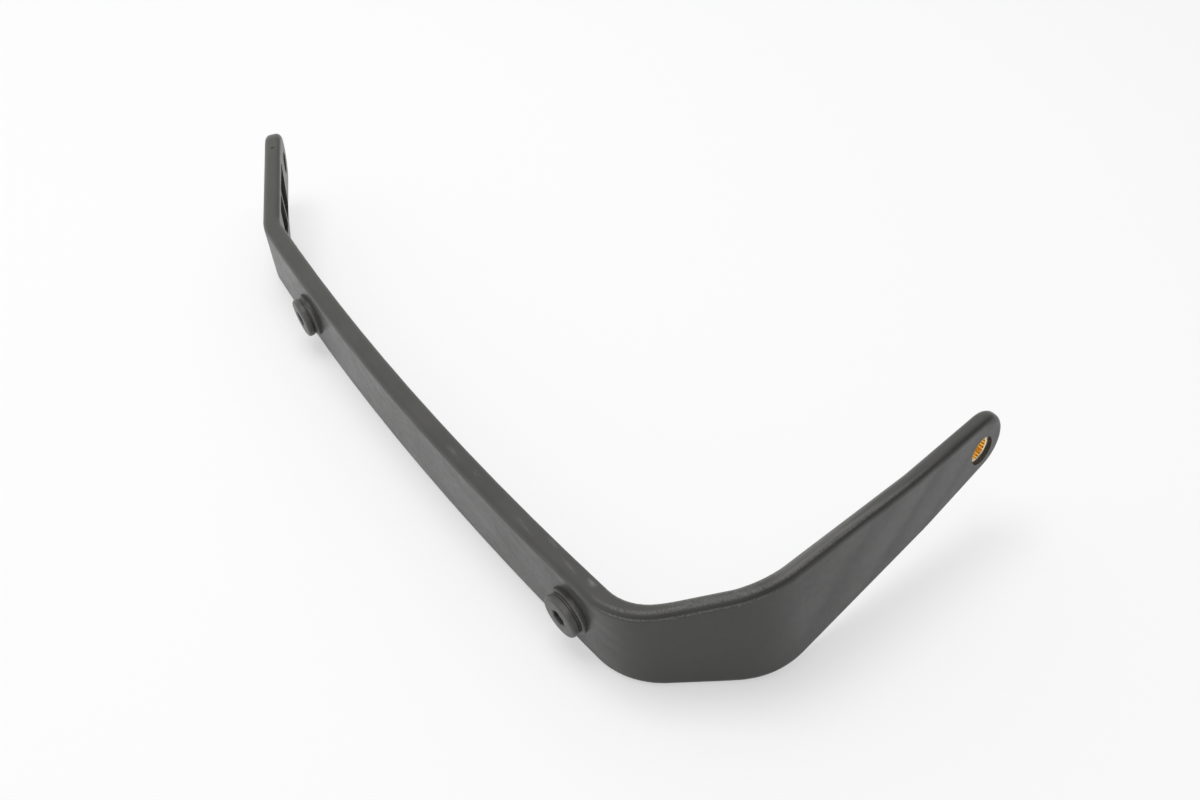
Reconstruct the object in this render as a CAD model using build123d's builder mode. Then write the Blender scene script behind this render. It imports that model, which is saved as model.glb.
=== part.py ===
"""Motorcycle hand guard: one black moulded strip standing on edge, a brass bush and two socket screws.

The pieces are drawn in the moulding frame: X along the bar, Y back towards the rider, Z along the bends.
They are then leaned forward together, so that the lower edge lies flat and the origin is under the middle.
"""
import os
from math import acos, asin, atan2, cos, hypot, radians, sin, sqrt, tan

from build123d import *

os.makedirs("parts", exist_ok=True)

# Bar
BAR_HALF = 115.0        # half the length between the two outer corners
BAR_BOW_R = 1320.0      # bow of the front face in plan
BAR_T = 6.8             # thickness
BAR_H = 30.6            # height
LEAN = 10.5             # forward lean of the bar when the guard stands on its lower edge

# Long arm on the +X side: a short side section, a knee, then a tapering arm
SIDE_ANGLE = 30.5       # side section, outwards from square to the bar
SIDE_LEN = 43.5         # outer corner to knee, on the outer face
ARM_ANGLE = -9.8        # tapering arm, inwards from square to the bar
ARM_LEN = 94.5          # knee to hole centre
ARM_T = 5.2             # thickness of side section and arm
CORNER_R = 23.0         # outside bend at the corner
KNEE_R = 30.0           # outside bend at the knee
KNEE_TOP_Z = 33.8       # upper edge at the knee
KINK_TOP_Z = 23.7       # upper edge where the last stretch turns up
KINK_LOW_Z = -3.6       # lower edge where the last stretch turns up
END_R = 10.5            # round end
END_Z = 10.6            # height of the round end's centre
HOLE_Z = 9.3            # height of the bushed hole
KINK_TOP_RUN = 31.5     # hole back to the upper edge's turn
KINK_LOW_RUN = 26.5     # hole back to the lower edge's turn
KNEE_SKEW = 3.0         # the upper edge turns this far past the knee, the lower edge this far before it
RISE_R = 40.0           # easing of the edges, seen from the end
KNEE_TOP_R = 50.0
KNEE_LOW_R = 90.0
KINK_R = 60.0

# Short arm on the -X side: one flat leaning blade
BLADE_ANGLE = 64.6      # outwards from square to the bar
BLADE_LEAN = 8.0        # lean against the bar
BLADE_LEN = 56.2        # outer corner to hole centre
BLADE_H = 22.4          # height
BLADE_T = 6.4           # thickness
BLADE_R = 22.0          # outside bend at the corner
BLADE_HOLE_D = 8.4      # plain hole
BLADE_FOOT = 14.0       # stretch of the blade that still reaches the table
FOOT_R = 6.0            # rounding under that foot
STEP_RUN = 19.0         # run of the slope from the foot up to the blade's lower edge
STEP_R = 20.0           # easing of that slope
MITRE_SINK = 0.9        # the bar ends this far inside the blade's outer face

# Rounded rims and the pockets in the inner side of both arms
OUTER_EDGE_R = 2.4
INNER_EDGE_R = 2.0
RIM = 2.6               # wall left round each pocket
ARM_SKIN = 2.4          # outer skin left behind the long arm's pockets
BLADE_SKIN = 4.2        # outer skin left behind the blade's pockets
RIB_T = 1.8             # ribs between pockets
POCKET_R = 1.2          # pocket corners
POCKET_START = 74.7     # hole back to the long arm's first pocket
PAD_RUN = 10.0          # solid pad round the bushed hole, before the last pocket
RIB_SLANT = 4.0         # half the slope of the long arm's rib, and of its pad's edge
PAD_SLANT = 3.0
BLADE_RIB_AT = 25.0     # corner to the blade's rib
BLADE_RIB_SLANT = 2.0
BLADE_PAD_LOW = 17.0    # the blade's pad ends this far before the hole, below and above
BLADE_PAD_TOP = 12.0
BLADE_POCKET_LOW = 14.0  # corner to the blade's first pocket, below and above
BLADE_POCKET_TOP = 12.0

# Bush in the long arm
BUSH_OD = 10.0
BUSH_ID = 8.4
BUSH_SET = 1.3          # depth below the outer face
BUSH_LIP = 0.3          # bevel at both mouths

# Screws and the raised seats under them
SEAT_D = 15.8
SEAT_H = 1.4            # above the bar's front face
SEAT_BEVEL = 0.5
SEAT_Z = 14.4           # height up the bar
SEAT_IN_RIGHT = 22.3    # from the long arm's corner along the bar
SEAT_IN_LEFT = 37.9     # from the blade's corner along the bar
NECK_D = 13.4
NECK_H = 0.5            # groove between seat and head
HEAD_D = 14.2
HEAD_H = 2.5
HEAD_EDGE = 0.9         # rounding of the head's upper rim
SCREW_D = 8.0
SCREW_PLAY = 0.05       # between screw and hole, all round
SCREW_TIP = 0.5         # bevel at the screw's end
SOCKET_AF = 5.0         # hexagon across flats
SOCKET_DEPTH = 2.4

REACH = 3 * (BAR_HALF + ARM_LEN)  # longer than any cut has to be


def bar_y(x, radius=BAR_BOW_R):
    """Depth of the bar's front face, or of another bow with the same centre."""
    return BAR_BOW_R - sqrt(radius**2 - x**2)


def low_z(y):
    """Lower edge, one flat plane under bar and side section."""
    return -tan(radians(LEAN)) * y


def heading(angle):
    """Plan direction at an angle from square to the bar."""
    return Vector(sin(radians(angle)), cos(radians(angle)), 0)


def inward(angle):
    """Plan direction from the long arm's outer face to its inner face."""
    return Vector(-cos(radians(angle)), sin(radians(angle)), 0)


def meet(p, d, q, e):
    """Where the plan lines p + a d and q + b e cross."""
    return p + d * (((q.X - p.X) * e.Y - (q.Y - p.Y) * e.X) / (d.X * e.Y - d.Y * e.X))


def touch(point, centre, radius, side):
    """Where a line from the point touches the circle, on its left (1) or right (-1)."""
    reach = hypot(centre[0] - point[0], centre[1] - point[1])
    turn = atan2(point[1] - centre[1], point[0] - centre[0]) - side * acos(radius / reach)
    return centre[0] + radius * cos(turn), centre[1] + radius * sin(turn)


def between(points, u):
    """Height of a run of straight edges at u."""
    for (u0, z0), (u1, z1) in zip(points, points[1:]):
        if u <= u1:
            break
    return z0 + (z1 - z0) * (u - u0) / (u1 - u0)


def flat(*points):
    """Plan coordinates for sketching."""
    return [(p.X, p.Y) for p in points]


# Long arm in plan
side_dir, arm_dir = heading(SIDE_ANGLE), heading(ARM_ANGLE)
corner = Vector(BAR_HALF, bar_y(BAR_HALF), 0)
knee = corner + side_dir * SIDE_LEN
hole = knee + arm_dir * ARM_LEN
arm_stop = hole + arm_dir * END_R * 2
arm_stop_in = arm_stop + inward(ARM_ANGLE) * ARM_T
side_in = corner + inward(SIDE_ANGLE) * ARM_T
knee_in = meet(side_in, side_dir, arm_stop_in, arm_dir)
inner_r = BAR_BOW_R - BAR_T
bar_in = Vector(BAR_HALF, bar_y(BAR_HALF, inner_r), 0)
corner_in = meet(bar_in, Vector(1, BAR_HALF / inner_r, 0), side_in, side_dir)
corner_in = Vector(corner_in.X, bar_y(corner_in.X, inner_r), 0)

# Long arm's edges seen from the end
rise = (knee.Y - SIDE_LEN / 2, BAR_H)
knee_top = (knee.Y + KNEE_SKEW, KNEE_TOP_Z)
knee_low = (knee.Y - KNEE_SKEW, low_z(knee.Y - KNEE_SKEW))
kink_top = (hole.Y - KINK_TOP_RUN, KINK_TOP_Z)
kink_low = (hole.Y - KINK_LOW_RUN, KINK_LOW_Z)
end_top = touch(kink_top, (hole.Y, END_Z), END_R, 1)
end_low = touch(kink_low, (hole.Y, END_Z), END_R, -1)

# Faces that carry the holes
arm_face = Plane(origin=(hole.X, hole.Y, 0), x_dir=arm_dir, z_dir=arm_dir.cross(Vector(0, 0, 1)))
blade_dir = heading(-BLADE_ANGLE)
blade_up = Vector(0, sin(radians(BLADE_LEAN)), cos(radians(BLADE_LEAN)))
blade_in = Vector(cos(radians(BLADE_ANGLE)), sin(radians(BLADE_ANGLE)), 0)
blade_face = Plane(
    origin=(-BAR_HALF, bar_y(BAR_HALF), BAR_H), x_dir=blade_dir, z_dir=blade_dir.cross(blade_up)
)
bar_stop = -BAR_HALF - BLADE_LEN
seats = [
    Plane(
        origin=(x, bar_y(x), SEAT_Z),
        x_dir=(BAR_BOW_R - bar_y(x), x, 0),
        z_dir=(x, bar_y(x) - BAR_BOW_R, 0),
    )
    for x in (BAR_HALF - SEAT_IN_RIGHT, SEAT_IN_LEFT - BAR_HALF)
]


def mitre_x(z):
    """Slanting end of the bar, hidden inside the blade."""
    bow = asin(BAR_HALF / BAR_BOW_R)
    slope = tan(radians(BLADE_LEAN)) / tan(radians(90 - BLADE_ANGLE) - bow)
    return -BAR_HALF - MITRE_SINK + (z - BAR_H) * slope


def arm_pocket(u0, u1, slant0, slant1):
    """Pocket outline on the long arm between two slanting ends, u measured from the hole."""
    top = [(y - hole.Y, z) for y, z in (knee_top, kink_top, end_top)]
    low = [(y - hole.Y, z) for y, z in (knee_low, kink_low, end_low)]
    return [
        (u0 + slant0, between(low, u0 + slant0) + RIM), (u1 + slant1, between(low, u1 + slant1) + RIM),
        (u1 - slant1, between(top, u1 - slant1) - RIM), (u0 - slant0, between(top, u0 - slant0) - RIM),
    ]


with BuildPart() as blade:
    # Short arm, cut off at the bar's front face and at the table plane
    step = (BLADE_FOOT + STEP_RUN, -BLADE_H)
    with BuildSketch(blade_face) as outline:
        with BuildLine():
            Polyline(
                (BLADE_LEN, -BLADE_H), step, (BLADE_FOOT, -2 * BLADE_H), (-BLADE_LEN, -2 * BLADE_H),
                (-BLADE_LEN, 0), (BLADE_LEN, 0),
            )
            ThreePointArc((BLADE_LEN, 0), (BLADE_LEN + BLADE_H / 2, -BLADE_H / 2), (BLADE_LEN, -BLADE_H))
        make_face()
        fillet(outline.vertices().sort_by_distance(Vector(*step, 0))[0], STEP_R)
    extrude(amount=BLADE_T, dir=blade_in)
    with BuildSketch(Plane.XY.offset(-REACH)):
        with Locations((0, BAR_BOW_R)):
            Circle(BAR_BOW_R)
    extrude(amount=2 * REACH, mode=Mode.INTERSECT)
    with BuildSketch(Plane.YZ.offset(-REACH)):
        Polygon((-REACH, low_z(-REACH)), (REACH, low_z(REACH)), (REACH, REACH), (-REACH, REACH), align=None)
    extrude(amount=REACH, mode=Mode.INTERSECT)
    across = blade.edges().filter_by(lambda e: abs(e.tangent_at(0.5).dot(blade_in)) > 0.9)
    fillet(across.filter_by(lambda e: e.center().X < -BAR_HALF - 1).sort_by(Axis.Z)[0], FOOT_R)

with BuildPart() as moulding:
    # Strip in plan: bowed bar, side section and long arm
    with BuildSketch(Plane.XY.offset(-REACH)) as plan:
        with BuildLine():
            ThreePointArc((bar_stop, bar_y(bar_stop)), (0, 0), *flat(corner))
            Polyline(flat(corner, knee, arm_stop, arm_stop_in, knee_in, corner_in))
            ThreePointArc(*flat(corner_in), (0, BAR_T), (bar_stop, bar_y(bar_stop, inner_r)))
            Line((bar_stop, bar_y(bar_stop, inner_r)), (bar_stop, bar_y(bar_stop)))
        make_face()
        for point, radius in (
            (corner, CORNER_R), (corner_in, CORNER_R - BAR_T), (knee, KNEE_R), (knee_in, KNEE_R - ARM_T)
        ):
            fillet(plan.vertices().sort_by_distance(point)[0], radius)
    extrude(amount=2 * REACH)
    # Upper and lower edges, seen from the end
    with BuildSketch(Plane.YZ.offset(-REACH)) as edges:
        with BuildLine():
            Polyline(
                end_low, kink_low, knee_low, (-BAR_T, low_z(-BAR_T)), (-BAR_T, BAR_H),
                rise, knee_top, kink_top, end_top,
            )
            ThreePointArc(end_top, (hole.Y + END_R, END_Z), end_low)
        make_face()
        for point, radius in (
            (rise, RISE_R), (knee_top, KNEE_TOP_R), (kink_top, KINK_R),
            (kink_low, KINK_R), (knee_low, KNEE_LOW_R),
        ):
            fillet(edges.vertices().sort_by_distance(Vector(*point, 0))[0], radius)
    extrude(amount=2 * REACH, mode=Mode.INTERSECT)
    # The bar stops inside the blade, and the blade takes over
    with BuildSketch(blade_face):
        Rectangle(4 * BLADE_LEN, 6 * BAR_H)
    extrude(amount=-4 * BLADE_LEN, mode=Mode.SUBTRACT)
    with BuildSketch(Plane.XZ):
        Polygon((mitre_x(3 * BAR_H), 3 * BAR_H), (mitre_x(-BAR_H), -BAR_H), (-REACH, -BAR_H),
                (-REACH, 3 * BAR_H), align=None)
    extrude(amount=BLADE_LEN, both=True, mode=Mode.SUBTRACT)
    add(blade.part)
    # Bend between bar and blade, then the rounding that runs round both rims
    upright = moulding.edges().filter_by(lambda e: e.length > BAR_H and abs(e.tangent_at(0.5).Z) > 0.9)
    bends = upright.filter_by(lambda e: abs(e.center().X + BAR_HALF) < 2 * BLADE_R).sort_by(Axis.Y)
    fillet(bends[0], BLADE_R)
    fillet(moulding.edges().sort_by_distance(bends[-1].center())[0], BLADE_R - BLADE_T)
    fillet(moulding.edges().sort_by_distance((0, 0, BAR_H))[0], OUTER_EDGE_R)
    fillet(moulding.edges().sort_by_distance((0, BAR_T, BAR_H))[0], INNER_EDGE_R)
    # Raised seats on the front, with the holes that take the screws
    for seat in seats:
        with BuildSketch(seat.offset(-BAR_T / 2)):
            Circle(SEAT_D / 2)
        extrude(amount=BAR_T / 2 + SEAT_H)
        with BuildSketch(seat.offset(SEAT_H)):
            Circle(SCREW_D / 2 + SCREW_PLAY)
        extrude(amount=-SEAT_H - BAR_T * 2, mode=Mode.SUBTRACT)
        mouth = moulding.edges().filter_by(GeomType.CIRCLE).sort_by_distance(
            seat.from_local_coords((SEAT_D / 2, 0, SEAT_H)))[0]
        chamfer(mouth, SEAT_BEVEL)
    # Bushed hole in the long arm and plain hole in the blade
    with BuildSketch(arm_face):
        with Locations((0, HOLE_Z)):
            Circle(BUSH_OD / 2)
    extrude(amount=2 * ARM_T, both=True, mode=Mode.SUBTRACT)
    with BuildSketch(blade_face):
        with Locations((BLADE_LEN, -BLADE_H / 2)):
            Circle(BLADE_HOLE_D / 2)
    extrude(amount=2 * BLADE_T, both=True, mode=Mode.SUBTRACT)
    # Pockets in the inner side of both arms
    with BuildSketch(arm_face.offset(-ARM_SKIN)) as arm_pockets:
        split = -(POCKET_START + PAD_RUN) / 2
        Polygon(*arm_pocket(-POCKET_START, split - RIB_T / 2, 0, RIB_SLANT), align=None)
        Polygon(*arm_pocket(split + RIB_T / 2, -PAD_RUN, RIB_SLANT, PAD_SLANT), align=None)
        fillet(arm_pockets.vertices(), POCKET_R)
    extrude(amount=-4 * ARM_T, mode=Mode.SUBTRACT)
    with BuildSketch(blade_face.offset(BLADE_SKIN)) as blade_pockets:
        low = RIM - BLADE_H
        rib_low, rib_top = BLADE_RIB_AT + BLADE_RIB_SLANT, BLADE_RIB_AT - BLADE_RIB_SLANT
        Polygon((BLADE_POCKET_LOW, low), (rib_low, low), (rib_top, -RIM), (BLADE_POCKET_TOP, -RIM),
                align=None)
        Polygon((rib_low + RIB_T, low), (BLADE_LEN - BLADE_PAD_LOW, low), (BLADE_LEN - BLADE_PAD_TOP, -RIM),
                (rib_top + RIB_T, -RIM), align=None)
        fillet(blade_pockets.vertices(), POCKET_R)
    extrude(amount=4 * BLADE_T, mode=Mode.SUBTRACT)

with BuildPart() as sleeve:
    with BuildSketch(arm_face.offset(-BUSH_SET)):
        with Locations((0, HOLE_Z)):
            Circle(BUSH_OD / 2)
            Circle(BUSH_ID / 2, mode=Mode.SUBTRACT)
    extrude(amount=BUSH_SET - ARM_T)
    mouths = sleeve.edges().filter_by(GeomType.CIRCLE).group_by(SortBy.RADIUS)[0]
    chamfer(mouths, BUSH_LIP)

with BuildPart() as bolt:
    # Turned flat head on a short neck, drawn upright with the seat at the origin
    top, rim = NECK_H + HEAD_H, HEAD_D / 2
    nip = HEAD_EDGE * (1 - cos(radians(45)))
    with BuildSketch(Plane.XZ):
        with BuildLine():
            Polyline(
                (0, 0), (NECK_D / 2, 0), (NECK_D / 2, NECK_H), (rim - HEAD_EDGE / 2, NECK_H),
                (rim, NECK_H + HEAD_EDGE / 2), (rim, top - HEAD_EDGE), (rim - nip, top - nip),
                (rim - HEAD_EDGE, top), (0, top), close=True,
            )
        make_face()
    revolve(axis=Axis.Z)
    with BuildSketch():
        Circle(SCREW_D / 2)
    extrude(amount=-SEAT_H - BAR_T)
    chamfer(bolt.faces().sort_by(Axis.Z)[0].edges(), SCREW_TIP)
    with BuildSketch(Plane.XY.offset(top)):
        RegularPolygon(SOCKET_AF / 2, 6, major_radius=False)
    extrude(amount=-SOCKET_DEPTH, mode=Mode.SUBTRACT)

# Stand everything on its lower edge, with the origin under the middle of the whole
lean = Rot(X=LEAN)
screw_at = [seat.offset(SEAT_H).location for seat in seats]
whole = [lean * moulding.part, lean * sleeve.part] + [lean * at * bolt.part for at in screw_at]
boxes = [piece.bounding_box() for piece in whole]
mid_x = (min(b.min.X for b in boxes) + max(b.max.X for b in boxes)) / 2
mid_y = (min(b.min.Y for b in boxes) + max(b.max.Y for b in boxes)) / 2
stand = Pos(-mid_x, -mid_y, -min(b.min.Z for b in boxes)) * lean

with BuildPart() as guard:
    add(stand * moulding.part)
guard.part.label = "guard"
export_step(guard.part, "parts/guard.step")

with BuildPart() as bush:
    add(stand * sleeve.part)
bush.part.label = "bush"
export_step(bush.part, "parts/bush.step")

with BuildPart() as screw_right:
    add(stand * screw_at[0] * bolt.part)
screw_right.part.label = "screw_right"
export_step(screw_right.part, "parts/screw_right.step")

with BuildPart() as screw_left:
    add(stand * screw_at[1] * bolt.part)
screw_left.part.label = "screw_left"
export_step(screw_left.part, "parts/screw_left.step")
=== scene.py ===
import math

import bmesh
import bpy
from mathutils import Matrix, Vector

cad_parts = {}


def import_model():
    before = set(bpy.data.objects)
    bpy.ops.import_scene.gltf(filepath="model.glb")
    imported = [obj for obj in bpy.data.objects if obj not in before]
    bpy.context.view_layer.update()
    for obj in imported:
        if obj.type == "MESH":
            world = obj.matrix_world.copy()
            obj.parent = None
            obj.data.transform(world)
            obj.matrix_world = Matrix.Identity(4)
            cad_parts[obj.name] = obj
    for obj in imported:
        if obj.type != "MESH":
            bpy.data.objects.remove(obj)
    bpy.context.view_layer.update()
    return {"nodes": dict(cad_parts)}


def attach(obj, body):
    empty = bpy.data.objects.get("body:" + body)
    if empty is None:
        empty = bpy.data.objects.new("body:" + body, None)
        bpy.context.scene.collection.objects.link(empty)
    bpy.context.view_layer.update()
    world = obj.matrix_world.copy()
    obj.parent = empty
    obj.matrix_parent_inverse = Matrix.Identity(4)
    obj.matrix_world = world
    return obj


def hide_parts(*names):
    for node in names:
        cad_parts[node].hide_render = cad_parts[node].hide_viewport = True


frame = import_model()

MM = 0.001
WHITE = (1.0, 1.0, 1.0)

# Camera, at the photograph's viewing angle
CAMERA_AT = Vector((347.63, -221.2, 326.3)) * MM
CAMERA_LOOK = Vector((-0.6326, 0.4374, -0.6392))
CAMERA_ROLL = math.radians(1.35)
CAMERA_LENS = 43.5
CAMERA_NEAR = 0.01
SENSOR_WIDTH = 36.0

# Floor, in metres. It glows only where it is seen, so it is white without more light on the object.
FLOOR_SIZE = 16.0
FLOOR_COLOUR = (0.34, 0.34, 0.343)
FLOOR_ROUGHNESS = 0.7
FLOOR_SPECULAR = 0.1
FLOOR_LIFT = 0.535
FLOOR_FAR_LIFT = 0.73   # where the lamp no longer reaches, so that the floor runs into the sky
FLOOR_NEAR, FLOOR_FAR = 0.5, 2.0

# Sky
SKY_SEEN = 0.95
SKY_BRIGHT = 0.90       # lit side of the studio
SKY_DARK = 0.23         # dark side, behind the camera
SKY_TOWARDS = Vector((-0.70, -0.30, 0.65)).normalized()
SKY_FROM, SKY_TO = -0.20, 0.70

# Lamp, in metres and watts
KEY_AT = Vector((-0.22, -0.22, 1.4))
KEY_AIM = Vector((0.0, -0.02, 0.0))
KEY_SIZE = (0.8, 0.9)
KEY_WATTS = 14.0

# Bush: middle of its outer mouth, and the way out along its bore
BUSH_MOUTH = Vector((139.740, 63.434, 33.819)) * MM
BUSH_OUT = Vector((0.98541, 0.16736, 0.03102))
BUSH_LEN = 3.9 * MM
BUSH_R = 5.0 * MM
BUSH_BORE_R = 4.2 * MM
BUSH_LIP = 0.4 * MM
BUSH_FLAT = 0.15 * MM   # flat left on the end face, outside the bevel
FLUTES = 26
FLUTE_DEPTH = 0.36 * MM
FLUTE_SHAPE = 0.7       # below 1, a flute is wider than the land beside it
FLUTE_STEPS = 8         # points round the bore for each flute
FLUTE_RUN_OUT = 0.12 * MM

# Screws, in millimetres: middle of the seat, way out and the hexagon's direction
SCREWS = {
    "screw_right": (
        (112.826, -68.796, 14.498), (0.07023, -0.98083, -0.18179), (0.99753, 0.06905, 0.01280),
    ),
    "screw_left": (
        (-57.154, -69.786, 14.315), (-0.05841, -0.98158, -0.18192), (0.99829, -0.05743, -0.01064),
    ),
}
SHANK_R, SHANK_LEN, SHANK_TIP = 4.0, 8.2, 0.5
NECK_R, NECK_H = 6.7, 0.5
HEAD_R, HEAD_H = 7.1, 2.5
HEAD_ROUND, HEAD_UNDER = 0.95, 0.45
HEAD_STEPS = 6          # steps round the head's upper rim
SOCKET_AF, SOCKET_DEPTH, SOCKET_BEVEL = 5.0, 2.4, 0.3
SOCKET_POINT_R, SOCKET_POINT_H = 0.2, 0.3
SCREW_SEGMENTS = 96
SHARP_ANGLE = math.radians(34)

# Noise: scale per metre, detail and roughness. A stretched noise takes its scale from its directions.
CLOUD_NOISE = (55.0, 4.0, 0.55)
MOTTLE_NOISE = (420.0, 3.0, 0.6)
GRAIN_NOISE = (2600.0, 3.0, 0.6)
SPECK_NOISE = (1500.0, 4.0, 0.7)
STRETCHED_NOISE = (1.0, 3.0, 0.6)
STREAK_NOISE = (1.0, 3.0, 0.5)
BRASS_NOISE = (900.0, 3.0, 0.6)
STEEL_NOISE = (500.0, 4.0, 0.6)
STEEL_GRAIN_NOISE = (3200.0, 2.0, 0.5)
NOISE_SPAN = (0.3, 0.7)  # where most values of a noise lie

# Moulding: colours, and how much of the fainter ones shows
PLASTIC_IOR = 1.50
PLASTIC_DARK, PLASTIC_PALE = (0.038, 0.0372, 0.0348), (0.048, 0.0470, 0.0440)
BAND_COLOUR, BAND_SHARE = (0.094, 0.093, 0.088), 0.9
STREAK_COLOUR, STREAK_SHARE = (0.095, 0.094, 0.089), 0.50
# pale colour for the painted highlights on rims and the long arm's top, and the painted light on the
# seats' sides
PAINTED_LIGHT_COLOUR = (0.17, 0.168, 0.16)
SCUFF_COLOUR = (0.22, 0.22, 0.21)
# pale colour for the painted bounce light in the blade's pockets
POCKET_LIGHT_COLOUR = (0.15, 0.148, 0.14)
PIT_COLOUR = (0.008, 0.008, 0.008)
PLASTIC_ROUGHNESS = (0.34, 0.40)
MOTTLE_ROUGHNESS = (-0.03, 0.03)
SCUFF_ROUGHNESS = 0.2
PLASTIC_BUMP = (0.35, 0.03 * MM)  # strength and height
PIT_DEPTH = 12.0        # in heights of the grain

# Flow bands on the long arm's outer face, in millimetres across them:
# dark, light from, light to, dark again
FLOW_BANDS = [(-37, -26, -24, -17), (-17, -5, -3.5, 1), (1, 9, 10.5, 14), (14, 18, 26, 34)]
BAND_UP = Vector((0.0, 0.719, 0.695))
BAND_ACROSS = Vector((0.0, 0.695, -0.719))
WAVER_X, WAVER_ACROSS, WAVER_UP = 9.0, 40.0, 7.0
WAVER_SPAN, WAVER_SHIFT = (0.2, 0.8), 2.5 * MM
WAVER_FADE_SPAN, WAVER_FADE = (0.25, 0.65), (0.55, 1.0)
BAND_Y = (-45 * MM, 15 * MM)
BAND_FACING = (0.75, 0.95)

# Long faint streaks on the bar's front, by how it faces -Y
STREAK_X, STREAK_Y, STREAK_Z = (14.0, 0.0, 0.0), (0.0, 30.0, 0.0), (60.0, 0.0, 170.0)
STREAK_SPAN = (0.36, 0.74)
STREAK_FACING = (-0.75, -0.95)

# Painted highlights on the long arm's rims: facing upwards from and to, and where they fade out
LONG_ARM_X = (120 * MM, 132 * MM)
HIGH_RIM_FROM, HIGH_RIM_TO = (0.74, 0.85), (0.99, 0.93)
HIGH_RIM_Y, HIGH_RIM_SHARE = (52 * MM, 15 * MM), 0.5
LOW_RIM_FROM, LOW_RIM_TO = (0.02, 0.14), (0.46, 0.28)
LOW_RIM_Y, LOW_RIM_FACING = (-22 * MM, -36 * MM), (0.1, 0.4)

# Painted light on the sides of the screw seats: reach in millimetres, and how much of it counts as
# the seat
SEAT_REACH, SEAT_SPAN = 13.0, (0.05, 0.35)
SEAT_FACING, SEAT_SHARE = (0.1, 0.5), (0.35, 0.75)

# Painted highlight in streaks along the long arm's top
ARM_ALONG = Vector((-0.170, 0.985, 0.0))
ARM_ACROSS = Vector((0.985, 0.170, 0.0))
COMB_ALONG, COMB_ACROSS, COMB_UP = 28.0, 800.0, 200.0
COMB_SPAN, COMB_SHARE = (0.35, 0.65), (0.10, 0.46)
TOP_FACING = (0.80, 0.93)
TOP_FROM_Y = (-38 * MM, -20 * MM)
TOP_TO_Y, TOP_TO_SHARE = (45 * MM, -5 * MM), (0.15, 1.0)
TOP_OUT, TOP_OUT_SHARE = (145.6 * MM, 148.4 * MM), (0.3, 1.0)  # from the inner to the outer rim

# Scuffs, in millimetres: place, half length along the bar, half width, strength
SCUFFS = [
    ((50.5, -70.4, 30.7), 4.0, 1.0, 0.25),
    ((63.8, -69.3, 30.9), 2.6, 1.0, 0.32),
    ((90.7, -69.0, 30.9), 6.0, 0.8, 0.25),
    ((101.5, -66.1, 31.5), 4.0, 0.9, 0.30),
    ((111.7, -67.0, 31.3), 6.0, 0.9, 0.18),
    ((120.4, -65.4, 31.6), 2.8, 1.6, 0.42),
    ((16.9, -70.8, 15.0), 4.0, 1.0, 0.30),
]
SCUFF_X, SCUFF_YZ = 260.0, 900.0
SCUFF_SPAN = (0.34, 0.62)

# Painted bounce light on the walls of the blade's pockets, and a small pit near its tip in
# millimetres
POCKET_LIGHT_X, POCKET_LIGHT_FACING = (-104 * MM, -110 * MM), (0.3, 0.7)
POCKET_LIGHT_SPAN, POCKET_LIGHT_SHARE = (0.2, 0.7), (0.5, 0.95)
PIT_AT, PIT_R = (-138.4, -44.6, 35.5), 1.2
PIT_EDGE = (0.15, 0.4)

# Brass
BRASS_DEEP, BRASS_PALE = (0.96, 0.50, 0.07), (1.0, 0.67, 0.16)
# painted shade in the flutes, and a pale painted highlight on the end faces
BRASS_GROOVE_SHADE, BRASS_END_HIGHLIGHT = (0.56, 0.24, 0.03), (1.0, 0.92, 0.74)
BRASS_ROUGHNESS = (0.18, 0.32)
BRASS_END_HIGHLIGHT_FACING = (0.4, 0.6)
GROOVE_SHADE_FROM = 0.3       # share of a flute's depth at which the groove's colour starts

# Screws' black
STEEL_IOR = 1.52
STEEL_DARK, STEEL_PALE = (0.056, 0.055, 0.052), (0.072, 0.071, 0.067)
# pale painted highlight on the screws' sides that face +X
STEEL_SIDE_HIGHLIGHT = (0.13, 0.128, 0.122)
STEEL_SIDE_HIGHLIGHT_FACING, STEEL_SIDE_HIGHLIGHT_SHARE = (0.1, 0.5), (0.4, 0.9)
STEEL_ROUGHNESS = (0.36, 0.46)
STEEL_BUMP = (0.3, 0.02 * MM)


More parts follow.
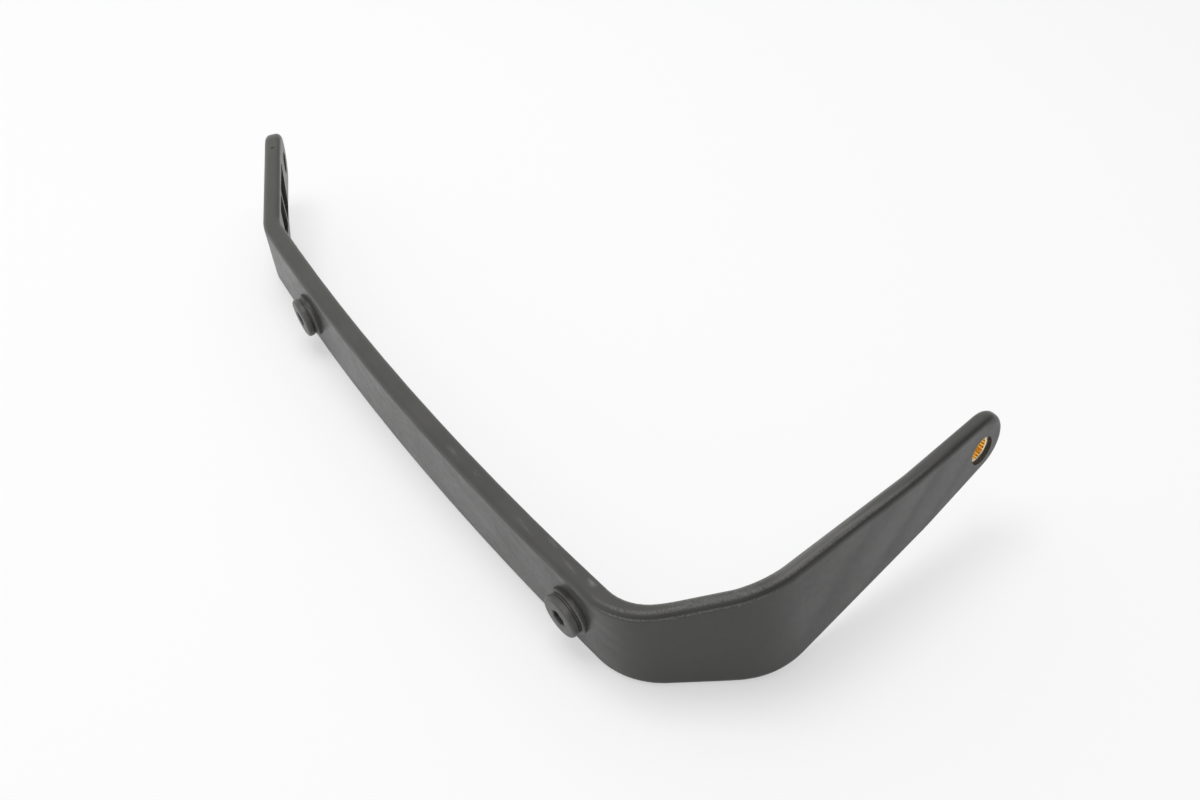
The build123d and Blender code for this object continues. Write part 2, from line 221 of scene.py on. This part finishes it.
class Tree:
    """A node tree that is built by name."""

    def __init__(self, tree):
        self.tree = tree
        tree.nodes.clear()

    def add(self, kind, inputs=None, **settings):
        node = self.tree.nodes.new(kind)
        for name, value in settings.items():
            setattr(node, name, value)
        for name, value in (inputs or {}).items():
            node.inputs[name].default_value = value
        return node

    def link(self, source, target):
        self.tree.links.new(source, target)

    def output(self, shader, kind="ShaderNodeOutputMaterial"):
        self.link(shader.outputs[0], self.add(kind).inputs["Surface"])

    def math(self, operation, a, b=0.5):
        node = self.add("ShaderNodeMath", operation=operation)
        for socket, value in zip(node.inputs, (a, b)):
            if isinstance(value, (int, float)):
                socket.default_value = value
            else:
                self.link(value, socket)
        return node.outputs[0]

    def vector(self, operation, a, b, output="Vector"):
        node = self.add("ShaderNodeVectorMath", operation=operation)
        for socket, value in zip(node.inputs, (a, b)):
            if isinstance(value, (tuple, list, Vector)):
                socket.default_value = value
            else:
                self.link(value, socket)
        return node.outputs[output]

    def length(self, vector):
        node = self.add("ShaderNodeVectorMath", operation="LENGTH")
        self.link(vector, node.inputs[0])
        return node.outputs["Value"]

    def along(self, vector, direction):
        """Length of a vector along a direction."""
        return self.vector("DOT_PRODUCT", vector, direction, "Value")

    def parts(self, vector):
        """X, Y and Z of a vector, by name."""
        node = self.add("ShaderNodeSeparateXYZ")
        self.link(vector, node.inputs[0])
        return node.outputs

    def frame(self, vector, x, y, z):
        """The same point measured along three directions, each with its own stretch."""
        node = self.add("ShaderNodeCombineXYZ")
        for socket, direction in zip(node.inputs, (x, y, z)):
            self.link(self.along(vector, direction), socket)
        return node.outputs[0]

    def remap(self, value, low, high, to_low=0.0, to_high=1.0, smooth=True):
        node = self.add("ShaderNodeMapRange")
        node.interpolation_type = "SMOOTHSTEP" if smooth else "LINEAR"
        self.link(value, node.inputs["Value"])
        node.inputs["From Min"].default_value = low
        node.inputs["From Max"].default_value = high
        node.inputs["To Min"].default_value = to_low
        node.inputs["To Max"].default_value = to_high
        return node.outputs["Result"]

    def near(self, vector, point_mm, reach_mm):
        """1 at a point, falling to 0 at its reach."""
        gap = self.vector("DISTANCE", vector, Vector(point_mm) * MM, "Value")
        return self.remap(gap, 0.0, reach_mm * MM, 1.0, 0.0)

    def noise(self, vector, scale, detail, rough):
        inputs = {"Scale": scale, "Detail": detail, "Roughness": rough}
        node = self.add("ShaderNodeTexNoise", inputs)
        self.link(vector, node.inputs["Vector"])
        return node.outputs["Fac"]

    def product(self, *values):
        result = values[0]
        for value in values[1:]:
            result = self.math("MULTIPLY", result, value)
        return result

    def most(self, *values):
        result = values[0]
        for value in values[1:]:
            result = self.math("MAXIMUM", result, value)
        return result

    def mix_colour(self, factor, a, b):
        node = self.add("ShaderNodeMix", data_type="RGBA")
        self.link(factor, node.inputs["Factor"])
        for socket, value in ((node.inputs[6], a), (node.inputs[7], b)):
            if isinstance(value, tuple):
                socket.default_value = (*value, 1.0)
            else:
                self.link(value, socket)
        return node.outputs[2]

    def bump(self, height, strength, distance, shader):
        node = self.add("ShaderNodeBump", {"Strength": strength, "Distance": distance})
        self.link(height, node.inputs["Height"])
        self.link(node.outputs[0], shader.inputs["Normal"])


def material(name):
    mat = bpy.data.materials.new(name)
    mat.use_nodes = True
    return mat, Tree(mat.node_tree)


def flow_bands(t, place, at, facing):
    """Pale bands on the long arm's outer face, fading in past the knee."""
    lean = t.frame(
        place, (WAVER_X, 0.0, 0.0), WAVER_ACROSS * BAND_ACROSS, WAVER_UP * BAND_UP
    )
    waver = t.noise(lean, *STRETCHED_NOISE)
    shift = t.remap(waver, *WAVER_SPAN, -WAVER_SHIFT, WAVER_SHIFT, smooth=False)
    across = t.math("ADD", t.along(place, BAND_ACROSS), shift)
    bands = [
        t.product(
            t.remap(across, dark * MM, light * MM), t.remap(across, dark_to * MM, light_to * MM)
        )
        for dark, light, light_to, dark_to in FLOW_BANDS
    ]
    return t.product(
        t.most(*bands), t.remap(waver, *WAVER_FADE_SPAN, *WAVER_FADE),
        t.remap(at["Y"], *BAND_Y), t.remap(facing["X"], *BAND_FACING), BAND_SHARE,
    )


def streaks(t, place, facing):
    """Long faint streaks on the bar's front."""
    drawn = t.frame(place, STREAK_X, STREAK_Y, STREAK_Z)
    streak = t.remap(t.noise(drawn, *STREAK_NOISE), *STREAK_SPAN)
    return t.product(streak, t.remap(facing["Y"], *STREAK_FACING), STREAK_SHARE)


def painted_rim_and_seat_light(t, place, at, facing):
    """Painted highlights on rims, next to the top and low on the side section, and painted light on
    the screw seats' sides.
    """
    long_arm = t.remap(at["X"], *LONG_ARM_X)
    # painted highlight lines along the long arm's rims
    high = t.product(
        t.remap(facing["Z"], *HIGH_RIM_FROM), t.remap(facing["Z"], *HIGH_RIM_TO), long_arm,
        t.remap(at["Y"], *HIGH_RIM_Y), HIGH_RIM_SHARE,
    )
    low = t.product(
        t.remap(facing["Z"], *LOW_RIM_FROM), t.remap(facing["Z"], *LOW_RIM_TO), long_arm,
        t.remap(at["Y"], *LOW_RIM_Y), t.remap(facing["X"], *LOW_RIM_FACING),
    )
    speck = t.noise(place, *SPECK_NOISE)
    rims = t.product(t.most(high, low), t.remap(speck, *NOISE_SPAN))
    by_screws = t.most(*[t.near(place, seat, SEAT_REACH) for seat, _, _ in SCREWS.values()])
    # painted light that lifts the shaded sides of the screw seats
    seat_side_light = t.product(
        t.remap(by_screws, *SEAT_SPAN), t.remap(facing["X"], *SEAT_FACING),
        t.remap(speck, *NOISE_SPAN, *SEAT_SHARE),
    )
    return t.most(rims, seat_side_light)


def painted_top_highlight(t, place, at, facing):
    """Painted highlight on the long arm's top, in streaks along it and most just past the knee."""
    combed = t.frame(
        place, COMB_ALONG * ARM_ALONG, COMB_ACROSS * ARM_ACROSS, (0.0, 0.0, COMB_UP)
    )
    return t.product(
        t.remap(facing["Z"], *TOP_FACING), t.remap(at["X"], *LONG_ARM_X),
        t.remap(at["Y"], *TOP_FROM_Y), t.remap(at["Y"], *TOP_TO_Y, *TOP_TO_SHARE),
        t.remap(t.along(place, BUSH_OUT), *TOP_OUT, *TOP_OUT_SHARE),
        t.remap(t.noise(combed, *STRETCHED_NOISE), *COMB_SPAN, *COMB_SHARE),
    )


def scuffs(t, place):
    """Every pale scuff, as one broken mask."""
    marks = []
    for point, length, width, strength in SCUFFS:
        gap = t.vector("SUBTRACT", place, Vector(point) * MM)
        reach = [1 / (length * MM), 1 / (width * MM), 1 / (width * MM)]
        size = t.length(t.vector("MULTIPLY", gap, reach))
        marks.append(t.remap(size, 0.0, 1.0, strength, 0.0))
    rub = t.frame(place, (SCUFF_X, 0.0, 0.0), (0.0, SCUFF_YZ, 0.0), (0.0, 0.0, SCUFF_YZ))
    return t.product(t.most(*marks), t.remap(t.noise(rub, *STRETCHED_NOISE), *SCUFF_SPAN))


def painted_pocket_light(t, at, facing, cloud):
    """Painted bounce light on the walls of the blade's pockets."""
    # painted bounce light on pocket walls that face +X, broken by noise
    walls = t.product(t.remap(at["X"], *POCKET_LIGHT_X), t.remap(facing["X"], *POCKET_LIGHT_FACING))
    return t.product(walls, t.remap(cloud, *POCKET_LIGHT_SPAN, *POCKET_LIGHT_SHARE))


def plastic():
    """Black glass-filled nylon: fine grain, faint flow bands, painted highlights on rims and the long
    arm's top, painted light on the screw seats' sides and in the blade's pockets, and a few marks.
    """
    mat, t = material("moulded_plastic")
    shader = t.add("ShaderNodeBsdfPrincipled", {"IOR": PLASTIC_IOR})
    t.output(shader)
    place = t.add("ShaderNodeTexCoord").outputs["Object"]
    at = t.parts(place)
    facing = t.parts(t.add("ShaderNodeNewGeometry").outputs["Normal"])
    cloud = t.noise(place, *CLOUD_NOISE)
    scuffed = scuffs(t, place)
    pit = t.near(place, PIT_AT, PIT_R)

    layers = [
        (flow_bands(t, place, at, facing), BAND_COLOUR),
        (streaks(t, place, facing), STREAK_COLOUR),
        # painted highlights on rims and painted light on the seats' sides
        (painted_rim_and_seat_light(t, place, at, facing), PAINTED_LIGHT_COLOUR),
        # painted highlight in streaks along the long arm's top
        (painted_top_highlight(t, place, at, facing), PAINTED_LIGHT_COLOUR),
        (scuffed, SCUFF_COLOUR),
        # painted bounce light on the walls of the blade's pockets
        (painted_pocket_light(t, at, facing, cloud), POCKET_LIGHT_COLOUR),
        (t.remap(pit, *PIT_EDGE), PIT_COLOUR),
    ]
    colour = t.mix_colour(t.remap(cloud, *NOISE_SPAN), PLASTIC_DARK, PLASTIC_PALE)
    for mask, layer_colour in layers:
        colour = t.mix_colour(mask, colour, layer_colour)
    t.link(colour, shader.inputs["Base Color"])

    mottle = t.remap(t.noise(place, *MOTTLE_NOISE), *NOISE_SPAN, *MOTTLE_ROUGHNESS)
    rough = t.math("ADD", t.remap(cloud, *NOISE_SPAN, *PLASTIC_ROUGHNESS), mottle)
    rough = t.math("ADD", rough, t.product(scuffed, SCUFF_ROUGHNESS))
    t.link(rough, shader.inputs["Roughness"])

    height = t.math("SUBTRACT", t.noise(place, *GRAIN_NOISE), t.product(pit, PIT_DEPTH))
    t.bump(height, *PLASTIC_BUMP, shader)
    return mat


def brass():
    """Turned brass, with a painted highlight on the end faces and their bevels and painted shade in
    the flutes.
    """
    mat, t = material("turned_brass")
    shader = t.add("ShaderNodeBsdfPrincipled", {"Metallic": 1.0})
    t.output(shader)
    place = t.add("ShaderNodeTexCoord").outputs["Object"]
    cloud = t.noise(place, *BRASS_NOISE)
    flat = t.along(t.add("ShaderNodeNewGeometry").outputs["True Normal"], BUSH_OUT)
    # painted highlight on the end faces and their bevels
    end = t.remap(t.math("ABSOLUTE", flat), *BRASS_END_HIGHLIGHT_FACING)
    from_mouth = t.vector("SUBTRACT", place, BUSH_MOUTH)
    from_axis = t.length(t.vector("CROSS_PRODUCT", from_mouth, BUSH_OUT))
    # painted shade in the bottoms of the flutes
    groove = t.remap(
        from_axis, BUSH_BORE_R + GROOVE_SHADE_FROM * FLUTE_DEPTH, BUSH_BORE_R + FLUTE_DEPTH
    )
    colour = t.mix_colour(cloud, BRASS_DEEP, BRASS_PALE)
    colour = t.mix_colour(groove, colour, BRASS_GROOVE_SHADE)
    t.link(t.mix_colour(end, colour, BRASS_END_HIGHLIGHT), shader.inputs["Base Color"])
    t.link(t.remap(cloud, *NOISE_SPAN, *BRASS_ROUGHNESS), shader.inputs["Roughness"])
    return mat


def black_steel():
    """Matt black screw, with a painted highlight on the side facing +X."""
    mat, t = material("black_screw")
    shader = t.add("ShaderNodeBsdfPrincipled", {"IOR": STEEL_IOR})
    t.output(shader)
    place = t.add("ShaderNodeTexCoord").outputs["Object"]
    cloud = t.noise(place, *STEEL_NOISE)
    facing = t.parts(t.add("ShaderNodeNewGeometry").outputs["Normal"])
    # painted highlight on the side facing +X, broken by noise
    worn = t.product(
        t.remap(facing["X"], *STEEL_SIDE_HIGHLIGHT_FACING), t.remap(cloud, *NOISE_SPAN, *STEEL_SIDE_HIGHLIGHT_SHARE)
    )
    colour = t.mix_colour(t.remap(cloud, *NOISE_SPAN), STEEL_DARK, STEEL_PALE)
    t.link(t.mix_colour(worn, colour, STEEL_SIDE_HIGHLIGHT), shader.inputs["Base Color"])
    t.link(t.remap(cloud, *NOISE_SPAN, *STEEL_ROUGHNESS), shader.inputs["Roughness"])
    t.bump(t.noise(place, *STEEL_GRAIN_NOISE), *STEEL_BUMP, shader)
    return mat


def turned(name, rings, origin, axis, across, mat, segments, node, closed=False):
    """A turned piece in place of a CAD node, from rings of (radius or radius by angle, height)."""
    z = Vector(axis).normalized()
    y = z.cross(Vector(across)).normalized()
    place = Matrix((y.cross(z), y, z)).transposed().to_4x4()
    place.translation = origin
    mesh = bmesh.new()
    loops = []
    for radius, height in rings:
        loop = []
        for step in range(segments):
            angle = 2 * math.pi * step / segments
            r = radius(angle) if callable(radius) else radius
            point = Vector((r * math.cos(angle), r * math.sin(angle), height))
            loop.append(mesh.verts.new(place @ point))
        loops.append(loop)
    pairs = list(zip(loops, loops[1:])) + ([(loops[-1], loops[0])] if closed else [])
    for low, high in pairs:
        for i in range(segments):
            j = (i + 1) % segments
            mesh.faces.new((low[i], low[j], high[j], high[i]))
    if not closed:
        mesh.faces.new(loops[0][::-1])
        mesh.faces.new(loops[-1])
    bmesh.ops.recalc_face_normals(mesh, faces=mesh.faces)
    data = bpy.data.meshes.new(name)
    mesh.to_mesh(data)
    mesh.free()
    data.polygons.foreach_set("use_smooth", [True] * len(data.polygons))
    data.set_sharp_from_angle(angle=SHARP_ANGLE)
    data.materials.append(mat)
    piece = bpy.data.objects.new(name, data)
    bpy.context.scene.collection.objects.link(piece)
    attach(piece, "root")
    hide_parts(node)
    return piece


def hexagon(across_flats):
    """Radius of a hexagon by angle."""
    half = math.pi / 6
    return lambda angle: across_flats / 2 / math.cos((angle + half) % (2 * half) - half)


def bush(mat):
    """Brass sleeve with fine flutes along its bore."""
    def fluted(angle):
        wave = 0.5 - 0.5 * math.cos(FLUTES * angle)
        return BUSH_BORE_R + FLUTE_DEPTH * wave ** FLUTE_SHAPE

    rings = [
        (BUSH_R, -BUSH_LEN),
        (BUSH_R, 0.0),
        (BUSH_R - BUSH_FLAT, 0.0),
        (BUSH_BORE_R, -BUSH_LIP),
        (fluted, -BUSH_LIP - FLUTE_RUN_OUT),
        (fluted, BUSH_LIP + FLUTE_RUN_OUT - BUSH_LEN),
        (BUSH_BORE_R, BUSH_LIP - BUSH_LEN),
        (BUSH_R - BUSH_FLAT, -BUSH_LEN),
    ]
    piece = turned(
        "fluted_bush", rings, BUSH_MOUTH, BUSH_OUT, (0, 0, 1), mat, FLUTES * FLUTE_STEPS,
        "bush", closed=True,
    )


def screw(node, mat):
    """Socket screw with a rounded flat head."""
    seat, axis, across = SCREWS[node]
    top = NECK_H + HEAD_H
    rings = [
        (SHANK_R - SHANK_TIP, -SHANK_LEN),
        (SHANK_R, SHANK_TIP - SHANK_LEN),
        (SHANK_R, 0.0),
        (NECK_R, 0.0),
        (NECK_R, NECK_H),
        (HEAD_R - HEAD_UNDER, NECK_H),
        (HEAD_R, NECK_H + HEAD_UNDER),
    ]
    for step in range(HEAD_STEPS + 1):
        turn = math.radians(90 * step / HEAD_STEPS)
        inwards = HEAD_ROUND * (1 - math.cos(turn))
        down = HEAD_ROUND * (1 - math.sin(turn))
        rings.append((HEAD_R - inwards, top - down))
    rings += [
        (hexagon(SOCKET_AF + 2 * SOCKET_BEVEL), top),
        (hexagon(SOCKET_AF), top - SOCKET_BEVEL),
        (hexagon(SOCKET_AF), top - SOCKET_DEPTH),
        (SOCKET_POINT_R, top - SOCKET_DEPTH - SOCKET_POINT_H),
    ]
    scaled = [
        ((lambda angle, r=r: r(angle) * MM) if callable(r) else r * MM, height * MM)
        for r, height in rings
    ]
    piece = turned(
        node + "_turned", scaled, Vector(seat) * MM, axis, across, mat, SCREW_SEGMENTS, node
    )


def floor():
    bpy.ops.mesh.primitive_plane_add(size=FLOOR_SIZE)
    plane = bpy.context.object
    plane.name = "floor"
    mat, t = material("pale_floor")
    shader = t.add("ShaderNodeBsdfPrincipled", {
        "Base Color": (*FLOOR_COLOUR, 1.0), "Roughness": FLOOR_ROUGHNESS,
        "Specular IOR Level": FLOOR_SPECULAR, "Emission Color": (*WHITE, 1.0),
    })
    t.output(shader)
    path = t.add("ShaderNodeLightPath").outputs
    seen = t.most(path["Is Camera Ray"], path["Is Glossy Ray"], path["Is Transmission Ray"])
    away = t.length(t.add("ShaderNodeTexCoord").outputs["Object"])
    lift = t.remap(away, FLOOR_NEAR, FLOOR_FAR, FLOOR_LIFT, FLOOR_FAR_LIFT, smooth=False)
    t.link(t.product(seen, lift), shader.inputs["Emission Strength"])
    plane.data.materials.append(mat)


def world():
    """Bright studio wall on one side, dark room on the other, plain white where it is seen."""
    sky = bpy.data.worlds.new("studio")
    bpy.context.scene.world = sky
    sky.use_nodes = True
    t = Tree(sky.node_tree)
    path = t.add("ShaderNodeLightPath").outputs
    straight = t.most(path["Is Camera Ray"], path["Is Transmission Ray"])
    towards = t.along(t.add("ShaderNodeTexCoord").outputs["Generated"], SKY_TOWARDS)
    light = t.remap(towards, SKY_FROM, SKY_TO, SKY_DARK, SKY_BRIGHT)
    seen = t.product(straight, SKY_SEEN)
    rest = t.product(t.math("SUBTRACT", 1.0, straight), light)
    background = t.add("ShaderNodeBackground", {"Color": (*WHITE, 1.0)})
    t.link(t.math("ADD", seen, rest), background.inputs["Strength"])
    t.output(background, "ShaderNodeOutputWorld")


def key_lamp():
    """A soft lamp that lights surfaces without a mirror image of itself."""
    lamp = bpy.data.lights.new("key", "AREA")
    lamp.shape = "RECTANGLE"
    lamp.size, lamp.size_y = KEY_SIZE
    lamp.energy = KEY_WATTS
    holder = bpy.data.objects.new("key", lamp)
    bpy.context.scene.collection.objects.link(holder)
    holder.location = KEY_AT
    holder.visible_glossy = False
    holder.rotation_euler = (KEY_AIM - KEY_AT).to_track_quat("-Z", "Y").to_euler()


def camera():
    lens = bpy.data.cameras.new("camera")
    lens.lens = CAMERA_LENS
    lens.sensor_width = SENSOR_WIDTH
    lens.sensor_fit = "HORIZONTAL"
    lens.clip_start = CAMERA_NEAR
    holder = bpy.data.objects.new("camera", lens)
    bpy.context.scene.collection.objects.link(holder)
    aim = CAMERA_LOOK.to_track_quat("-Z", "Y").to_matrix()
    turn = aim @ Matrix.Rotation(CAMERA_ROLL, 3, "Z")
    holder.matrix_world = Matrix.Translation(CAMERA_AT) @ turn.to_4x4()
    bpy.context.scene.camera = holder


def dress(node, mat):
    """A material on a CAD node that keeps its own mesh."""
    piece = frame["nodes"][node]
    piece.data.materials.clear()
    piece.data.materials.append(mat)


dress("guard", plastic())
bush(brass())
screw_black = black_steel()
for screw_node in SCREWS:
    screw(screw_node, screw_black)

floor()
world()
key_lamp()
camera()
bpy.context.scene.view_settings.view_transform = "Standard"

bpy.context.view_layer.update()
